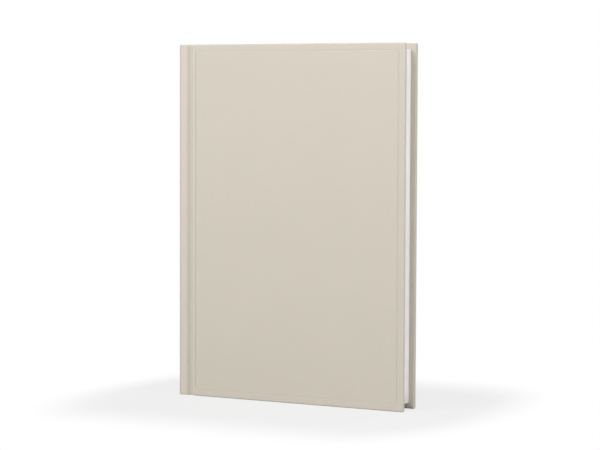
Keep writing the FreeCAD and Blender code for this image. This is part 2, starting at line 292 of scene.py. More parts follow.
def framePress(x, z):
    # depth and painted shade of the blind line, from the distance to a rectangle with rounded corners
    low = np.array([book["coverStart"] + frameLine["jointInset"], frameLine["inset"]])
    high = np.array([book["width"] - frameLine["inset"], book["height"] - frameLine["inset"]])
    middle, half = (low + high) / 2, (high - low) / 2
    qx = np.abs(x - middle[0]) - (half[0] - frameLine["corner"])
    qz = np.abs(z - middle[1]) - (half[1] - frameLine["corner"])
    outside = np.hypot(np.maximum(qx, 0), np.maximum(qz, 0))
    away = np.abs(outside + np.minimum(np.maximum(qx, qz), 0) - frameLine["corner"])
    line = 1 - smoothStep(frameLine["flat"], frameLine["half"], away)
    turning = smoothStep(-frameLine["blend"], frameLine["blend"], qx - qz)
    amounts = []
    for press in (frameLine["depth"], frameLine["tone"]):
        # each side is pressed, and its shade painted, a little differently, and a corner goes from one to
        # the other
        upright = np.where(x < middle[0], press["joint"], press["fore"])
        level = np.where(z < middle[1], press["tail"], press["head"])
        amounts.append(line * (level + (upright - level) * turning))
    return amounts


def coverPaintedLightAndTint(x, depth):
    # each painted highlight, painted shade and tint times its share, from the place across the cover and
    # the depth below its face
    start, foot, shell = book["coverStart"], book["grooveStart"], book["shellDepth"]
    starts, full, fades, ends = tonePlace["ridge"]
    before, past = tonePlace["groove"]
    middle, width = tonePlace["jointEdgeHighlight"]
    wall, wallTop, wallFull = tonePlace["foreWallShade"]
    shares = {
        "ridge": smoothStep(starts, full, x) * (1 - smoothStep(fades, ends, x)),
        "spineEdgeShade": bell(*tonePlace["spineEdgeShade"], depth) * (x < tonePlace["spineReach"]),
        "groove": smoothStep(foot - before, foot, x) * (1 - smoothStep(start, start + past, x)),
        "jointEdgeHighlight": bell(start + middle, width, x),
        "foreWallShade": smoothStep(wall, 0.0, book["width"] - x) * smoothStep(wallTop, wallFull, depth),
    }
    outside = depth < shell - book["layer"]
    tone = sum(np.outer(share * outside, clothPaintedLightAndTint[name]) for name, share in shares.items())
    # painted shade on the turned-in covering inside the cover, a little cooler in colour
    onFlap = smoothStep(shell - tonePlace["flap"], shell, depth) * (x > start)
    return tone + np.outer(onFlap, clothPaintedLightAndTint["flap"])


def edgeRings(faceInsets):
    # what the rings round a covered edge have in common: on the face, over the outer rounding, down
    # the wall, over the inner rounding and along the turned-in flap
    quarter = np.linspace(0, math.pi / 2, covering["quarterSteps"] + 1)
    flap = np.array([1.5, 2.4, 3.4, 5.0, 8.0, 12.0, covering["turnIn"]])
    kinds = (["face"] * len(faceInsets) + ["outer"] * len(quarter) + ["wall"]
             + ["inner"] * len(quarter) + ["flap"] * len(flap))
    return np.array(kinds), np.concatenate([faceInsets, quarter, [0.5], quarter, flap])


def columnRings(kinds, values, outer, outerNormal, inner, innerNormal, outerRound, innerRound):
    # Section of the covering over head or tail, for each column of the covering's path: out along the
    # face, a quarter circle of outerRound, across, a quarter circle of innerRound, and back along the
    # inner line. Gives positions (ring, column, 2), heights from the edge and the run round it.
    outerWay, innerWay = outerNormal * outerRound[:, None], innerNormal * innerRound[:, None]
    top, low = outer + outerWay, inner + innerWay
    gap = np.linalg.norm(low - top, axis=1)
    outerRun, innerRun = outerRound * (math.pi / 2 - 1), innerRound * (math.pi / 2 - 1)
    rings = []
    for kind, v in zip(kinds, values):
        cosine, sine = math.cos(v), math.sin(v)
        if kind == "face":
            spot, height, run = outer, v, -v
        elif kind == "outer":
            spot, height = outer + outerWay * (1 - cosine), outerRound * (1 - sine)
            run = outerRound * (v - 1)
        elif kind == "wall":
            spot, height, run = top + (low - top) * v, 0.0, outerRun + gap * v
        elif kind == "inner":
            spot, height = inner + innerWay * (1 - sine), innerRound * (1 - cosine)
            run = outerRun + gap + innerRound * v
        else:
            spot, height, run = inner, v, outerRun + gap + innerRun + v
        rings.append((spot, np.broadcast_to(height, gap.shape), np.broadcast_to(run, gap.shape)))
    return [np.array(part) for part in zip(*rings)]


def coverColumns():
    # The columns follow the section: round the spine's edge, over the ridge, through the groove, up
    # the wall of the board and over its face. A second line follows the inside: behind the spine's
    # board, two layers under the free covering, and along the board's inner face. The edge's radii
    # grow from a fold's to a board's while the line climbs the wall.
    c = covering
    drop, floorDepth, shell = book["ridgeDrop"], c["grooveDepth"], book["shellDepth"]
    start, footX, lastX = book["coverStart"], book["grooveStart"], book["width"] - c["margin"]
    crestX, firstX, fineEnd = footX - c["ridgeFall"], start + 1.2, start + 4.6
    arcPoints, step = c["arcPoints"], c["fineStep"]
    path = [(0, c["seamDepth"]), (0, drop), (crestX, drop), (footX, floorDepth), (start, floorDepth),
            (start, 0), (firstX, 0)]
    arcs, arcNormals = filletPath(path, [c[name] for name in (
        "spineCornerRound", "ridgeRound", "footRound", "grooveRound", "edgeRound")], arcPoints - 1)
    foot = 3 * arcPoints  # the last point of the third arc
    floorX = np.linspace(arcs[foot, 0], arcs[foot + 1, 0], c["grooveColumns"] + 2)[1:-1]
    faceX = np.concatenate([np.arange(firstX + step, fineEnd, step),
                            np.linspace(start + 5, lastX - 2.65, 40),
                            [lastX - 1.45, lastX - 0.75, lastX - 0.35, lastX]])
    line = np.vstack([arcs[:foot + 1], stacked(floorX, floorDepth), arcs[foot + 1:], stacked(faceX, 0.0)])
    normals = np.vstack([arcNormals[:foot + 1], np.tile([0.0, 1.0], (len(floorX), 1)),
                         arcNormals[foot + 1:], np.tile([0.0, 1.0], (len(faceX), 1))])
    run, lineX = runLength(line), line[:, 0]
    wallStart = foot + len(floorX) + 1
    wallEnd = wallStart + 2 * arcPoints - 1  # the last point of the fifth
    climb = np.clip((run - run[wallStart]) / (run[wallEnd] - run[wallStart]), 0, 1)
    fullAt, lead = 0.55, 0.45  # share of the climb at full radius, and how far the inside runs ahead
    onSpine = 1 - smoothStep(0.1, 0.9, (run - run[1]) / (run[arcPoints] - run[1]))
    onBoard = smoothStep(0, fullAt, climb)
    growth = c["edgeRound"] - c["foldRound"]
    outerRound = c["foldRound"] + growth * np.maximum(onSpine, onBoard)
    innerRound = c["foldRound"] + growth * onBoard

    layers, slope = 2 * book["layer"], math.atan2(floorDepth - drop, c["ridgeFall"])
    shift = layers * math.tan(slope / 2)
    innerPath = [(shell, c["seamDepth"]), (shell, drop + layers), (crestX - shift, drop + layers),
                 (footX - shift, shell), (start, shell)]
    behind, behindNormal = filletPath(
        innerPath, [0.02, c["ridgeRound"] - layers, c["footRound"] + layers], arcPoints - 1)
    inner, innerNormal = stacked(lineX, shell), np.tile([0.0, -1.0], (len(line), 1))
    inner[:foot + 1] = behind[:foot + 1]
    innerNormal[:foot + 1] = -behindNormal[:foot + 1]
    ahead = lineX + normals[:, 0] * outerRound + lead * climb ** 2
    ahead = np.where(climb < 1, ahead, np.maximum(lineX, ahead[wallEnd]))
    inner[wallStart:, 0] = ahead[wallStart:]
    columns = {"outer": line, "outerNormal": normals, "inner": inner, "innerNormal": innerNormal,
               "outerRound": outerRound, "innerRound": innerRound}
    return columns, run, climb >= 1


def makeCoverSheet(side):
    # Covering of one cover with its joint, as one surface. The middle is a grid over x and z. Round it
    # goes a band of rings over tail, fore edge and head, each a part of a rectangle with rounded
    # corners, that follows the edge's section; along the joint the band follows the groove's path.
    c = covering
    width, height, shell, margin = book["width"], book["height"], book["shellDepth"], c["margin"]
    columns, run, onFace = coverColumns()
    line = columns["outer"]
    # rings and rows lie closer where the frame line is pressed, and open out past it
    faceInsets = np.concatenate([[margin, 7.3, 6.7], np.arange(6.4, 3.3, -c["fineStep"]),
                                 [2.9, 2.3, 1.7, 1.2]])
    kinds, values = edgeRings(faceInsets)
    spots, heights, runs = columnRings(kinds, values, **columns)
    endZ = np.array([margin, 8.35, 8.75, 9.45])
    rowsZ = np.concatenate([endZ, np.linspace(11, height - 11, 52), height - endZ[::-1]])

    # rings at the fore edge: inset, depth and radius of the corner
    edge, radius, middle = c["edgeRound"], c["cornerRound"], frameLine["inset"]
    cosine, sine = np.cos(values), np.sin(values)
    cases = [kinds == kind for kind in ("face", "outer", "wall", "inner")]
    inset = np.select(cases, [values, edge * (1 - sine), 0, edge * (1 - cosine)], values)
    depth = np.select(cases, [0, edge * (1 - cosine), shell / 2, shell - edge * (1 - sine)], shell)
    faceCorner = np.interp(inset, [edge, middle - 0.5, middle + 0.5, middle + 2, margin],
                           [radius - edge, frameLine["corner"] + 0.5, frameLine["corner"] - 0.5, 0.4, 0])
    corner = np.where(kinds == "face", faceCorner, np.maximum(radius - inset, 0))

    angle = np.linspace(0, math.pi / 2, c["arcPoints"])
    cosine, sine = np.cos(angle), np.sin(angle)
    flatEnd, squeezeFrom = run[-1] + margin, 100.0
    bandRows, sheetRows = [], []
    for k, kind in enumerate(kinds):
        centre = inset[k] + corner[k]
        reach = max(centre, margin)
        x = spots[k, :, 0]
        tailX = np.where(onFace, squeezed(x, squeezeFrom, width - margin, width - reach), x)
        tail = stacked(tailX, spots[k, :, 1], heights[k])
        turn = stacked(width - centre + corner[k] * sine, depth[k], centre - corner[k] * cosine)
        foreZ = squeezed(rowsZ, height / 2, height - margin, height - reach)
        foreZ = height - squeezed(height - foreZ, height / 2, height - margin, height - reach)
        fore = stacked(width - inset[k], depth[k], foreZ)
        bandRows.append(np.vstack([tail, turn, fore, toHead(turn), toHead(tail)]))
        # the same on the flat material
        past = runs[k, -1]
        flatTail = stacked(run + (tailX - x), -runs[k])
        flatTurn = stacked(flatEnd - radius + (radius + past) * sine, radius - (radius + past) * cosine)
        if kind == "face":
            flatTurn = stacked(flatEnd - (width - turn[:, 0]), turn[:, 2])
        flatFore = stacked(flatEnd + past, foreZ)
        sheetRows.append(np.vstack([flatTail, flatTurn, flatFore, toHead(flatTurn), toHead(flatTail)]))
    grid = stacked(line[None, :, 0], line[None, :, 1], rowsZ[:, None])
    gridSheet = stacked(run[None, :], rowsZ[:, None])
    points = np.vstack([grid.reshape(-1, 3), *bandRows])
    sheet = np.vstack([gridSheet.reshape(-1, 2), *sheetRows])
    if side == "back":  # one piece of material goes round the spine
        sheet[:, 0] = -2 * (book["faceY"]["back"] - c["seamDepth"]) - sheet[:, 0]

    x, z = points[:, 0], points[:, 2]
    # painted highlights, painted shade and the groove's tint
    tone = coverPaintedLightAndTint(x, points[:, 1])
    if side == "front":
        # the blind line is pressed in and painted darker, as its shade
        pressed = (points[:, 1] < 1e-6) & (x > book["coverStart"] + edge)
        deep, lineShade = framePress(x, z)
        points[:, 1] += np.where(pressed, deep, 0)
        tone += np.where(pressed, lineShade, 0)[:, None]
    # the covering is folded at each fore corner: a low ridge along the mitre and a fuller corner
    fromFore, fromEnd = width - x, np.minimum(z, height - z)
    mitre = bell(0, c["mitreWidth"], fromFore - fromEnd) * (1 - smoothStep(12, 16, fromFore))
    points[:, 1] += c["mitreRise"] * mitre * smoothStep(shell - 0.5, shell, points[:, 1])
    faces = np.vstack([gridFaces(len(rowsZ), len(line), 0, side == "back"),
                       gridFaces(len(kinds), len(bandRows[0]), len(rowsZ) * len(line), side == "front")])
    name = f"{side}_covering"
    mesh = makeMesh(name, toRow(x, points[:, 1], z, side), faces, sheet * mm, tone)
    return makePiece(name, mesh, c["thickness"])


def makeSpineCovering():
    # the flat of the spine from seam to seam: the section over the edge, carried straight across
    c = covering
    height, margin, count = book["height"], c["margin"], c["spineColumns"]
    half = book["faceY"]["back"] - c["seamDepth"]
    across = np.linspace(-half, half, count)
    line, inwards = stacked(0.0, across), np.tile([1.0, 0.0], (count, 1))
    kinds, values = edgeRings(np.array([margin, 4.0, 2.0, 1.2]))
    spots, heights, runs = columnRings(
        kinds, values, line, inwards, line + [book["shellDepth"], 0], -inwards,
        np.full(count, c["edgeRound"]), np.full(count, c["foldRound"]))
    run = -(across + half)
    rowsZ = np.linspace(margin, height - margin, 40)[1:-1]
    tail = np.concatenate([spots, heights[:, :, None]], -1)[::-1]
    tailSheet = stacked(run, -runs)[::-1]
    grid = np.concatenate([tail, stacked(0.0, across[None, :], rowsZ[:, None]), toHead(tail)])
    sheet = np.concatenate([tailSheet, stacked(run[None, :], rowsZ[:, None]), toHead(tailSheet)])
    points = grid.reshape(-1, 3) + [book["spineX"], 0, 0]
    mesh = makeMesh("spine_covering", points * mm, gridFaces(len(grid), count, 0, True),
                    sheet.reshape(-1, 2) * mm)
    return makePiece("spine_covering", mesh, c["thickness"])


spineCovering = makeSpineCovering()
coverSheets = {side: makeCoverSheet(side) for side in sides}
print("covering", [len(p.data.polygons) for p in (spineCovering, *coverSheets.values())])

# The pages: one trimmed block whose three cut sides show every leaf.
pages = {
    "leaves": 118,
    "groove": 0.05,        # how far the line between two leaves lies back
    "gatheringLeaves": 8,
    "gatheringGroove": 0.1,
    "stagger": 0.07,       # how far one leaf may lie behind the next
    "drift": 0.04,         # and how far many lie behind together
    "driftSweep": 9,       # radians of drift from the first leaf to the last
    "wave": 0.05,
    "waveLengths": (6.2, 9.4, 23),  # along x and z, and in rows of points, for each radian
    "leafEdge": (0.0, 0.28, 0.72),  # the line, and both ends of the leaf's edge, in leaves
    "seed": 7,
}


def makePageBlock():
    # Leaves side by side: each is a ridge with its own small setback, and the row of ridges follows
    # the block's outline over tail, fore edge and head.
    low, high = np.array(blockLow) / mm, np.array(blockHigh) / mm
    rng = np.random.default_rng(pages["seed"])
    count = pages["leaves"]
    rows = np.append((np.arange(count)[:, None] + pages["leafEdge"]).ravel(), count)
    level = low[1] + (high[1] - low[1]) * rows / count
    groove = np.where(np.arange(count + 1) % pages["gatheringLeaves"] == 0,
                      pages["gatheringGroove"], pages["groove"])
    groove[[0, -1]] = pages["groove"]

    def setback():
        own = rng.random(count) * pages["stagger"]
        drift = pages["drift"] * np.sin(np.linspace(0, pages["driftSweep"], count) + rng.random() * 6)
        own = own + drift - drift.min()
        back = np.empty(len(rows))
        back[:-1:3] = np.maximum(own, np.append(0, own[:-1])) + groove[:-1]
        back[-1] = own[-1] + groove[-1]
        back[1::3] = back[2::3] = own
        return back[:, None]

    fore, tail, head = setback(), setback(), setback()
    alongX, alongZ = np.linspace(low[0], high[0], 16), np.linspace(low[2], high[2], 28)
    outlineX = np.concatenate([alongX[:-1], np.full(len(alongZ) - 1, high[0]), alongX[:0:-1], [low[0]]])
    outlineZ = np.concatenate([np.full(len(alongX) - 1, low[2]), alongZ[:-1],
                               np.full(len(alongX), high[2])])
    x = np.minimum(outlineX, high[0] - fore)
    z = np.clip(outlineZ, low[2] + tail, high[2] - head)
    waveX, waveZ, waveRows = pages["waveLengths"]
    phase = outlineX / waveX + outlineZ / waveZ + rows[:, None] / waveRows
    inside = 1 - np.abs(2 * rows / count - 1)
    y = level[:, None] + pages["wave"] * inside[:, None] * np.sin(phase)
    grid = np.stack([x, y, z], -1)
    grid = np.concatenate([grid, grid[:, :1]], 1)
    # closed towards the flyleaves at a pole in the middle of each face
    middle = (low + high) / 2
    poles = [np.tile([middle[0], end, middle[2]], (1, grid.shape[1], 1)) for end in (low[1], high[1])]
    grid = np.concatenate([poles[0], grid, poles[1]])
    mesh = makeMesh("page_block", grid.reshape(-1, 3) * mm, gridFaces(*grid.shape[:2], 0, True))
    return makePiece("page_block", mesh, sharpAbove=60)


pageBlock = makePageBlock()
print("page block", len(pageBlock.data.polygons))

# Endpapers: one half is glued to the cover and crosses the joint, the other lies free on the pages.
endpaper = {
    "thickness": 0.14,
    "foldRound": 0.25,
    "sink": 0.3,           # where the glued half dips on to the bare board
    "sinkRun": 1.4,
    "sinkClear": 0.2,      # it starts this far from what the paper comes down from
    "lift": 0.08,          # of the free half at its fore edge
}
foldX = pastSpine(blockLow.x) + endpaper["foldRound"]


def makeGluedLeaf(side):
    # Sheet over x and z whose depth sinks between gauze and turned-in covering by a smooth step. At
    # the spine it goes round its fold in a half circle.
    e = endpaper
    flat = belowFace(pasteLow.y) + e["sink"]
    gauzeEnd, foreEnd = pastSpine(gauzeHigh.x), pastSpine(pasteHigh.x) - 0.05
    foot, fine = covering["turnIn"], 2.4  # closer columns and rows reach this far over a dip's edge
    trayEnd, top = book["width"] - foot, book["height"] - foot
    x = spaced((foldX + 0.3, 12, 30), (14, gauzeEnd - 1, 6), (gauzeEnd, gauzeEnd + fine, 10),
               (gauzeEnd + 5, trayEnd - 5, 26), (trayEnd - fine, trayEnd, 10), (trayEnd + 1, foreEnd, 5))
    z = spaced((pasteLow.z / mm, foot - 1, 5), (foot, foot + fine, 10), (foot + 5, top - 5, 36),
               (top - fine, top, 10), (top + 1, pasteHigh.z / mm, 5))

    def sunk(low, high, value):
        low, high, slope = low + e["sinkClear"], high - e["sinkClear"], e["sinkRun"]
        return smoothStep(low, low + slope, value) * (1 - smoothStep(high - slope, high, value))

    depth = flat - e["sink"] * sunk(gauzeEnd, trayEnd, x) * sunk(foot, top, z)[:, None]
    angle = np.linspace(-math.pi / 2, math.pi / 2, 13)
    foldDepth = flat + e["foldRound"] * (1 - np.sin(angle))
    depth = np.concatenate([np.broadcast_to(foldDepth, (len(z), len(angle))), depth], 1)
    x = np.concatenate([foldX - e["foldRound"] * np.cos(angle), x])
    run = runLength(stacked(x, depth[len(z) // 2]))
    return makeSheet(f"{side}_glued_endpaper", side, x, depth, z, side == "back", e["thickness"], run)


def makeFreeLeaf(side):
    # sheet over x and z that lies on the pages and lifts a little towards its fore edge
    foreEnd, clear = pastSpine(blockHigh.x) - 0.06, 0.04
    x = np.append(foldX, np.linspace(foldX + 2, foreEnd, 40))
    z = np.linspace(blockLow.z / mm + clear, blockHigh.z / mm - clear, 56)
    share = (x - foldX) / (foreEnd - foldX)
    lift = endpaper["lift"] * share ** 3 * (0.55 + 0.45 * np.sin(z[:, None] / 34 + 0.6))
    depth = belowFace(blockLow.y) - 0.005 - lift
    return makeSheet(f"{side}_free_endpaper", side, x, depth, z, side == "front", endpaper["thickness"])


gluedLeaves = {side: makeGluedLeaf(side) for side in sides}
freeLeaves = {side: makeFreeLeaf(side) for side in sides}
print("endpapers", [p.name for p in (*gluedLeaves.values(), *freeLeaves.values())])

# Gauze: one part goes round the spine of the pages, and at each joint a strip goes on to the board.
gauzeSheet = {
    "thickness": 0.28,
    "foldRound": 0.3,
}
gauzeDepth = belowFace(gauzeLow.y)
gauzeRows = np.linspace(gauzeLow.z / mm, gauzeHigh.z / mm, 40)


def makeSpineGauze():
    # the section round three sides of the spine, with small rounded corners, carried up the spine
    end, back = book["grooveStart"], pastSpine(spineGauzeLow.x)
    far = 2 * book["faceY"]["back"] - gauzeDepth
    path = filletPath([(end, gauzeDepth), (back, gauzeDepth), (back, far), (end, far)],
                      [gauzeSheet["foldRound"]] * 2, 6)[0]
    return makeSheet("spine_binding", "front", path[:, 0], path[:, 1], gauzeRows, True,
                     gauzeSheet["thickness"], runLength(path))


def makeJointGauze(side):
    # flat strip across the joint and on to the board
    start = book["coverStart"]
    x = spaced((book["grooveStart"], start, 16), (start + 1, pastSpine(gauzeHigh.x), 10))
    return makeSheet(f"{side}_binding", side, x, gauzeDepth, gauzeRows, side == "back",
                     gauzeSheet["thickness"])


spineGauze = makeSpineGauze()
jointGauzes = {side: makeJointGauze(side) for side in sides}
print("gauze", [p.name for p in (spineGauze, *jointGauzes.values())])

# Headbands: thread wound round a core on a tape.
band = {
    "bead": 0.8,           # radius
    "thread": 0.42,        # pitch of the winding
    "relief": 0.07,
    "slant": 0.35,
    "threadSteps": 7,      # rings to each turn of the thread
    "bluntness": 24,       # the higher, the shorter its drawn-in ends
    "tape": 0.2,
    "fray": 0.06,          # unevenness of the tape's cut end
}


def makeBand(name, low, high, upwards):
    # Bead: a circle carried across the block, its radius raised by a round thread at every pitch,
    # slanted round the core and drawn in to a point at both ends. Tape: a thin sheet down the spine.
    low, high = np.array(low) / mm, np.array(high) / mm
    length, radius = high[1] - low[1], band["bead"]
    along = np.linspace(0, length, int(length / band["thread"] * band["threadSteps"]))[:, None]
    around = np.linspace(0, 2 * math.pi, 25)
    thread = np.abs(np.sin(math.pi * (along / band["thread"] + band["slant"] * np.sin(around))))
    ends = np.sqrt(np.clip(1 - np.abs(2 * along / length - 1) ** band["bluntness"], 0, 1))
    size = (radius - band["relief"] * (1 - thread)) * ends
    centreX, centreZ = low[0] + radius, (high[2] - radius if upwards else low[2] + radius)
    bead = stacked(centreX + size * np.cos(around), low[1] + along, centreZ + size * np.sin(around))
    tapeY = np.linspace(low[1] + 0.05, high[1] - 0.05, 24)
    tapeEnd = low[2] + 0.1 if upwards else high[2] - 0.1
    loopX = low[0] + band["tape"] * np.array([[0.05], [0.05], [0.95], [0.95], [0.05]])
    atBead = np.array([[True], [False], [False], [True], [True]])
    tape = stacked(loopX, tapeY, np.where(atBead, centreZ, tapeEnd + band["fray"] * np.sin(tapeY * 9)))
    poles = [np.broadcast_to(tape[:, k].mean(0), tape[:, :1].shape) for k in (0, -1)]
    tape = np.concatenate([poles[0], tape, poles[1]], 1)
    points = np.vstack([bead.reshape(-1, 3), tape.reshape(-1, 3)])
    faces = np.vstack([gridFaces(*bead.shape[:2], 0, True),
                       gridFaces(*tape.shape[:2], bead[..., 0].size, not upwards)])
    sheet = np.vstack([stacked(along, around * radius).reshape(-1, 2), tape[..., 1:].reshape(-1, 2)])
    return makePiece(name, makeMesh(name, points * mm, faces, sheet * mm), sharpAbove=60)


headBand = makeBand("headband_winding", *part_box("headband"), True)
tailBand = makeBand("tailband_winding", *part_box("tailband"), False)
print("bands", headBand.name, tailBand.name)


def node(tree, kind, inputs=None, **settings):
    # a new node; each input is a value or the socket that feeds it
    made = tree.nodes.new(kind)
    for key, value in settings.items():
        setattr(made, key, value)
    for key, value in (inputs or {}).items():
        if isinstance(value, bpy.types.NodeSocket):
            tree.links.new(value, made.inputs[key])
        else:
            made.inputs[key].default_value = value
    return made


def calc(tree, operation, *values):
    # one step of arithmetic on values or sockets
    return node(tree, "ShaderNodeMath", dict(enumerate(values)), operation=operation).outputs[0]


# Materials. The weave and the mottling are node groups that put out a height or masks.
def newGroup(name, inputs, outputs):
    # takes a vector and named numbers, and puts out named numbers
    group, number = bpy.data.node_groups.new(name, "ShaderNodeTree"), "NodeSocketFloat"
    group.interface.new_socket(name="Vector", in_out="INPUT", socket_type="NodeSocketVector")
    for label, value in inputs.items():
        group.interface.new_socket(name=label, in_out="INPUT", socket_type=number).default_value = value
    for label in outputs:
        group.interface.new_socket(name=label, in_out="OUTPUT", socket_type=number)
    return group, group.nodes.new("NodeGroupInput").outputs, group.nodes.new("NodeGroupOutput").inputs


def makeWeaveGroup():
    # Plain weave: warp threads are sin(pi u) across and rise and fall as cos(pi v) along, weft threads
    # the same the other way, one step out; the higher of the two shows. Slow noise moves the threads.
    group, given, result = newGroup("plainWeave", {"Pitch": 0.0004, "Wander": 0.1}, ["Height"])
    noiseGain = 10.0
    drift = node(group, "ShaderNodeTexNoise", {"Vector": given["Vector"], "Scale": 260.0, "Detail": 2.0})
    offset = node(group, "ShaderNodeVectorMath", {0: drift.outputs["Color"], 1: (0.5, 0.5, 0.5)},
                  operation="SUBTRACT").outputs[0]
    wander = calc(group, "MULTIPLY", calc(group, "MULTIPLY", given["Pitch"], given["Wander"]), noiseGain)
    offset = node(group, "ShaderNodeVectorMath", {0: offset, "Scale": wander},
                  operation="SCALE").outputs[0]
    moved = node(group, "ShaderNodeVectorMath", {0: given["Vector"], 1: offset}, operation="ADD")
    parts = node(group, "ShaderNodeSeparateXYZ", {0: moved.outputs[0]})
    u, v = (calc(group, "DIVIDE", parts.outputs[k], given["Pitch"]) for k in (0, 1))

    def thread(across, along, shift):
        profile = calc(group, "ABSOLUTE", calc(group, "SINE", calc(group, "MULTIPLY", across, math.pi)))
        order = calc(group, "ADD", calc(group, "FLOOR", across), shift)
        phase = calc(group, "ADD", calc(group, "SUBTRACT", along, 0.5), order)
        rise = calc(group, "COSINE", calc(group, "MULTIPLY", phase, math.pi))
        return calc(group, "MULTIPLY", profile, calc(group, "MULTIPLY_ADD", rise, 0.4, 0.6))

    group.links.new(calc(group, "MAXIMUM", thread(u, v, 0.0), thread(v, u, 1.0)), result["Height"])
    return group


def makeMottleGroup():
    # slow cloudiness and fine specks, both round nought
    group, given, result = newGroup("mottle", {"Cloud": 30.0, "Speck": 900.0}, ["Cloud", "Speck"])
    for label, detail in (("Cloud", 3.0), ("Speck", 2.0)):
        noise = node(group, "ShaderNodeTexNoise", {
            "Vector": given["Vector"], "Scale": given[label], "Detail": detail})
        group.links.new(calc(group, "SUBTRACT", noise.outputs["Fac"], 0.5), result[label])
    return group


weaveGroup = makeWeaveGroup()
mottleGroup = makeMottleGroup()

# cloud and speck: scale and amount of the mottling; bump: strength, and distance in metres;
# weave: pitch in metres, wander, the height that leaves the colour as it is, and amount of painted light
# and shade, lighter above that height and darker below
paper = {"cloud": (60.0, 0.02), "speck": (2600.0, 0.05), "bump": (0.35, 0.00003)}
finishes = {
    "book_cloth": {"colour": (0.594, 0.55, 0.47), "roughness": 0.82, "sheen": 0.12, "specular": 0.3,
                   "cloud": (26.0, 0.035), "speck": (700.0, 0.05), "bump": (0.6, 0.00003),
                   "weave": (0.00042, 0.1, 0.7, 0.06)},
    "page_edges": {"colour": (0.92, 0.89, 0.9), "roughness": 0.7, "specular": 0.35, **paper},
    "endpaper": {"colour": (0.79, 0.775, 0.735), "roughness": 0.72, "specular": 0.35, **paper},
    "lining_paper": {"colour": (0.6, 0.5, 0.38), "roughness": 0.8, "specular": 0.35, **paper},
    "grey_board": {"colour": (0.42, 0.4, 0.37), "roughness": 0.9, "specular": 0.2,
                   "cloud": (180.0, 0.25), "speck": (1600.0, 0.3), "bump": (0.6, 0.00008)},
    "binding_gauze": {"colour": (0.8, 0.78, 0.72), "roughness": 0.85, "sheen": 0.1, "specular": 0.25,
                      "cloud": (90.0, 0.08), "speck": (1200.0, 0.0), "bump": (0.8, 0.00015),
                      "weave": (0.0009, 0.12, 0.6, 0.6)},
    "band_thread": {"colour": (0.8, 0.77, 0.7), "roughness": 0.6, "sheen": 0.3, "specular": 0.4,
                    "bump": (0.5, 0.00004)},
}


def newMaterial(name):
    # what is even all over goes on the shader's own sockets
    material, own = bpy.data.materials.new(name), finishes[name]
    material.use_nodes = True
    sockets = material.node_tree.nodes["Principled BSDF"].inputs
    sockets["Roughness"].default_value = own["roughness"]
    sockets["Specular IOR Level"].default_value = own["specular"]
    sockets["Sheen Weight"].default_value = own.get("sheen", 0.0)
    sockets["Sheen Roughness"].default_value = 0.5
    return material, own


def finishSurface(material, own, height=None, masks=(), tone=None):
    # Base colour: the finish's own, times one plus the sum of masks times amounts, and plus its
    # product with the tone in each channel. Normal: a bump from the height, or from the specks.
    tree = material.node_tree
    sockets = tree.nodes["Principled BSDF"].inputs
    if "cloud" in own:
        mottle = node(tree, "ShaderNodeGroup", {
            "Vector": node(tree, "ShaderNodeTexCoord").outputs["Object"],
            "Cloud": own["cloud"][0], "Speck": own["speck"][0]}, node_tree=mottleGroup).outputs
        masks = [(mottle["Cloud"], own["cloud"][1]), (mottle["Speck"], own["speck"][1]), *masks]
        height = mottle["Speck"] if height is None else height
    total = 1.0
    for mask, amount in masks:
        if amount:
            total = calc(tree, "MULTIPLY_ADD", mask, amount, total)
    base = node(tree, "ShaderNodeVectorMath", {0: own["colour"], "Scale": total},
                operation="SCALE").outputs[0]
    if tone is not None:
        base = node(tree, "ShaderNodeVectorMath", {0: base, 1: tone, 2: base},
                    operation="MULTIPLY_ADD").outputs[0]
    tree.links.new(base, sockets["Base Color"])
    strength, distance = own["bump"]
    relief = node(tree, "ShaderNodeBump", {"Height": height, "Strength": strength, "Distance": distance})
    tree.links.new(relief.outputs[0], sockets["Normal"])
    return material


def stretched(tree, place, scale):
    # the place times a scale on each axis
    return node(tree, "ShaderNodeMapping", {0: place, "Scale": scale}).outputs[0]


def makeWovenMaterial(name, withPaintedLight=False):
    # threads that follow the flat material; their tops are painted a little lighter and the hollows between
    # them a little darker, as light and shade
    material, own = newMaterial(name)
    tree = material.node_tree
    pitch, wander, middle, amount = own["weave"]
    weave = node(tree, "ShaderNodeGroup", {
        "Vector": node(tree, "ShaderNodeUVMap", uv_map="sheet").outputs["UV"],
        "Pitch": pitch, "Wander": wander}, node_tree=weaveGroup).outputs["Height"]
    # the covering's painted highlights, painted shade and tint, from its tone attribute
    tone = node(tree, "ShaderNodeAttribute", attribute_name="tone").outputs["Vector"] if withPaintedLight else None
    return finishSurface(material, own, weave, [(calc(tree, "SUBTRACT", weave, middle), amount)], tone)


def makePageMaterial():
    # leaf by leaf along Y, a little different in tone
    material, own = newMaterial("page_edges")
    tree = material.node_tree
    place = node(tree, "ShaderNodeTexCoord").outputs["Object"]
    leaf = node(tree, "ShaderNodeTexNoise", {
        "Vector": stretched(tree, place, (3.0, 1.0, 3.0)), "Scale": 4200.0, "Detail": 1.0}).outputs["Fac"]
    tone = node(tree, "ShaderNodeTexNoise", {
        "Vector": stretched(tree, place, (0.01, 1.0, 0.01)), "Scale": 3000.0, "Detail": 2.0}).outputs["Fac"]
    return finishSurface(material, own, calc(tree, "MULTIPLY_ADD", leaf, 0.3, tone),
                         [(calc(tree, "SUBTRACT", tone, 0.5), 0.22)])


def makePlainMaterial(name):
    # mottling and specks alone
    return finishSurface(*newMaterial(name))


def makeBoardMaterial():
    # grey pulp with dark flecks round the points of a scatter
    material, own = newMaterial("grey_board")
    tree = material.node_tree
    place = node(tree, "ShaderNodeTexCoord").outputs["Object"]
    away = node(tree, "ShaderNodeTexVoronoi", {"Vector": place, "Scale": 420.0}).outputs["Distance"]
    return finishSurface(material, own, None, [(calc(tree, "LESS_THAN", away, 0.16), -0.25)])


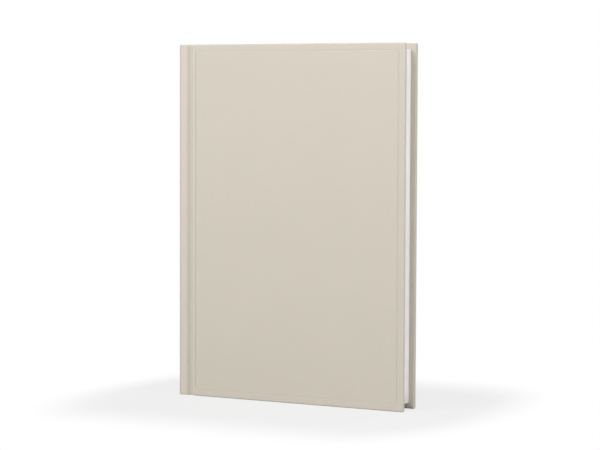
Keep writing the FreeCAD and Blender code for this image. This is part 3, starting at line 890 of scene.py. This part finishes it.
def makeThreadMaterial():
    # fibres drawn out round the winding
    material, own = newMaterial("band_thread")
    tree = material.node_tree
    sheet = node(tree, "ShaderNodeUVMap", uv_map="sheet").outputs["UV"]
    fibre = node(tree, "ShaderNodeTexNoise", {
        "Vector": stretched(tree, sheet, (1.0, 0.12, 1.0)), "Scale": 14000.0, "Detail": 2.0}).outputs["Fac"]
    return finishSurface(material, own, fibre, [(calc(tree, "SUBTRACT", fibre, 0.5), 0.3)])


def finishWith(pieces, material):
    # one material on all the pieces, in their only slot
    for piece in pieces:
        piece.data.materials.clear()
        piece.data.materials.append(material)


finishWith((spineCovering, *coverSheets.values()), makeWovenMaterial("book_cloth", True))
finishWith((pageBlock,), makePageMaterial())
finishWith((*gluedLeaves.values(), *freeLeaves.values()), makePlainMaterial("endpaper"))
finishWith((spineGauze, *jointGauzes.values()), makeWovenMaterial("binding_gauze"))
finishWith((headBand, tailBand), makeThreadMaterial())
greyBoard = makeBoardMaterial()
carried = {"spine_board": greyBoard, "front_board": greyBoard, "back_board": greyBoard,
           "spine_lining": makePlainMaterial("lining_paper")}
for name, material in carried.items():
    for slot in frame["nodes"][name].material_slots:
        slot.material = material
print("materials", len(bpy.data.materials))

# What each piece stands for; the pieces on the book block move with it.
for piece, name in ((spineCovering, "spine_cloth"), (spineGauze, "spine_gauze"),
                    (pageBlock, "text_block"), (headBand, "headband"), (tailBand, "tailband"),
                    *((freeLeaves[side], f"{side}_flyleaf") for side in sides)):
    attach(piece, "book_block")
    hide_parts(name)
for side in sides:
    y = book["faceY"][side] * mm
    ends = [("book_block", ((book["spineX"] + book["grooveStart"]) * mm, y, 0)),
            (f"{side}_cover", ((book["spineX"] + book["coverStart"]) * mm, y, 0))]
    if side == "front":  # at a full half turn the way round depends on which body comes first
        ends.reverse()
    for piece, name in ((coverSheets[side], "cover_cloth"), (gluedLeaves[side], "pastedown"),
                        (jointGauzes[side], "hinge_gauze")):
        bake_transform(piece)
        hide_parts(f"{side}_{name}")

# Floor, backdrop and light, in metres.
studio = {
    "floorSize": 40.0,
    "floorDrop": 0.00005,  # below the book, so that the two do not flicker
    "floorShade": 0.105,   # share of the floor's look that takes shadows; with floorLight it also sets how deep the shadow painted round the book is
    "floorLight": 2.26,    # light at which the floor would be plain white; more than falls near the book, so a shadow is painted there
    "shadeReach": (0.06, 0.14),  # the painted shadow fades and the floor turns plain white between these distances from the book
    "shadeAside": 2.0,     # distances along the book's width count for more
    "bounce": 0.4,
    "ambient": 0.725,
    "dimAbove": 1.0,       # how much of it is missing straight overhead
    "aim": (0, 0, 0.11),
    "lamps": {
        "key": {"at": (-0.42, -0.85, 0.72), "size": 0.7, "power": 7.2},
        "near": {"at": (0.2, -0.37, 0.52), "size": 0.4, "power": 0.74},
        "side": {"at": (0.9, -0.2, 0.45), "size": 0.8, "power": 4.05},
        "rear": {"at": (0.25, 1.0, 0.3), "size": 0.5, "power": 5.0},
    },
}
white = (1, 1, 1, 1)


def clearTree(owner):
    # a node tree with nothing in it
    owner.use_nodes = True
    owner.node_tree.nodes.clear()
    return owner.node_tree


def seenDirectly(tree):
    # 1 for rays from the camera, off gloss or through glass, 0 for the light that falls on the book
    path = node(tree, "ShaderNodeLightPath").outputs
    return calc(tree, "MAXIMUM", path["Is Camera Ray"],
                calc(tree, "MAXIMUM", path["Is Glossy Ray"], path["Is Transmission Ray"]))


def makeFloor():
    # to the eye: paper that takes the shadow, with a glow that fills it up to white away from the book but
    # falls short near it, which paints a shadow round the book;
    # to the light on the object: plain paper
    half = studio["floorSize"] / 2
    points = stacked(*np.meshgrid([-half, half], [-half, half]), -studio["floorDrop"]).reshape(-1, 3)
    floor = addObject("floor", makeMesh("floor", points, gridFaces(2, 2)))
    material = bpy.data.materials.new("floor_paper")
    tree = clearTree(material)
    # distance from the rectangle the book stands on: the root of the squares past its sides
    place = node(tree, "ShaderNodeSeparateXYZ", {0: node(tree, "ShaderNodeTexCoord").outputs["Object"]})
    squares = []
    for k, reach, weight in ((0, book["width"] / 2, studio["shadeAside"]),
                             (1, book["faceY"]["back"], 1.0)):
        past = calc(tree, "SUBTRACT", calc(tree, "ABSOLUTE", place.outputs[k]), reach * mm)
        past = calc(tree, "MULTIPLY", calc(tree, "MAXIMUM", past, 0.0), weight)
        squares.append(calc(tree, "MULTIPLY", past, past))
    near, far = studio["shadeReach"]
    share = node(tree, "ShaderNodeMapRange", {
        "Value": calc(tree, "SQRT", calc(tree, "ADD", *squares)), "From Min": near, "From Max": far,
        "To Min": studio["floorShade"], "To Max": 0.0}, interpolation_type="SMOOTHSTEP").outputs[0]
    # near the book the glow falls short of white: a painted shadow
    paintedShadowGlow = calc(tree, "MULTIPLY_ADD", share, -studio["floorLight"], 1.0)
    shadowTaking = node(tree, "ShaderNodeBsdfDiffuse", {"Color": share})
    glow = node(tree, "ShaderNodeEmission", {"Color": white, "Strength": paintedShadowGlow})
    lookedAt = node(tree, "ShaderNodeAddShader", {0: shadowTaking.outputs[0], 1: glow.outputs[0]})
    plain = node(tree, "ShaderNodeBsdfDiffuse", {"Color": (studio["bounce"],) * 3 + (1,)})
    mixed = node(tree, "ShaderNodeMixShader", {
        0: seenDirectly(tree), 1: plain.outputs[0], 2: lookedAt.outputs[0]})
    node(tree, "ShaderNodeOutputMaterial", {"Surface": mixed.outputs[0]})
    floor.data.materials.append(material)


def makeLamp(name, at, size, power):
    # a round panel at its place, turned to the book
    light = bpy.data.lights.new(name, "AREA")
    light.shape = "DISK"
    light.size = size
    light.energy = power
    turn = (Vector(studio["aim"]) - Vector(at)).to_track_quat("-Z", "Y").to_matrix().to_4x4()
    addObject(name, light).matrix_world = Matrix.Translation(at) @ turn


def makeWorld():
    # white to the eye; on the book, ambient light that falls off with the square of the way's height
    world = bpy.data.worlds.new("studio")
    bpy.context.scene.world = world
    tree = clearTree(world)
    way = node(tree, "ShaderNodeSeparateXYZ", {0: node(tree, "ShaderNodeTexCoord").outputs["Generated"]})
    up = calc(tree, "MAXIMUM", way.outputs[2], 0.0)
    soft = calc(tree, "MULTIPLY_ADD", calc(tree, "MULTIPLY", up, up),
                -studio["ambient"] * studio["dimAbove"], studio["ambient"])
    strength = calc(tree, "MAXIMUM", seenDirectly(tree), soft)
    glow = node(tree, "ShaderNodeBackground", {"Color": white, "Strength": strength})
    node(tree, "ShaderNodeOutputWorld", {"Surface": glow.outputs[0]})


makeFloor()
makeWorld()
for name, lamp in studio["lamps"].items():
    makeLamp(name, **lamp)

# Camera: angles in degrees, focal length in millimetres, place in metres.
lens = {"azimuth": 28.266, "elevation": 3.435, "roll": 0.21, "focal": 127.32,
        "at": (0.61082, -1.12988, 0.18473), "clipEnd": 50}
camera = addObject("camera", bpy.data.cameras.new("camera"))
camera.data.lens = lens["focal"]
camera.data.clip_end = lens["clipEnd"]
camera.matrix_world = (Matrix.Translation(lens["at"])
                       @ Matrix.Rotation(math.radians(lens["azimuth"]), 4, "Z")
                       @ Matrix.Rotation(math.radians(90 - lens["elevation"]), 4, "X")
                       @ Matrix.Rotation(math.radians(lens["roll"]), 4, "Z"))
bpy.context.scene.camera = camera
bpy.context.scene.view_settings.view_transform = "Standard"
print("studio ready")
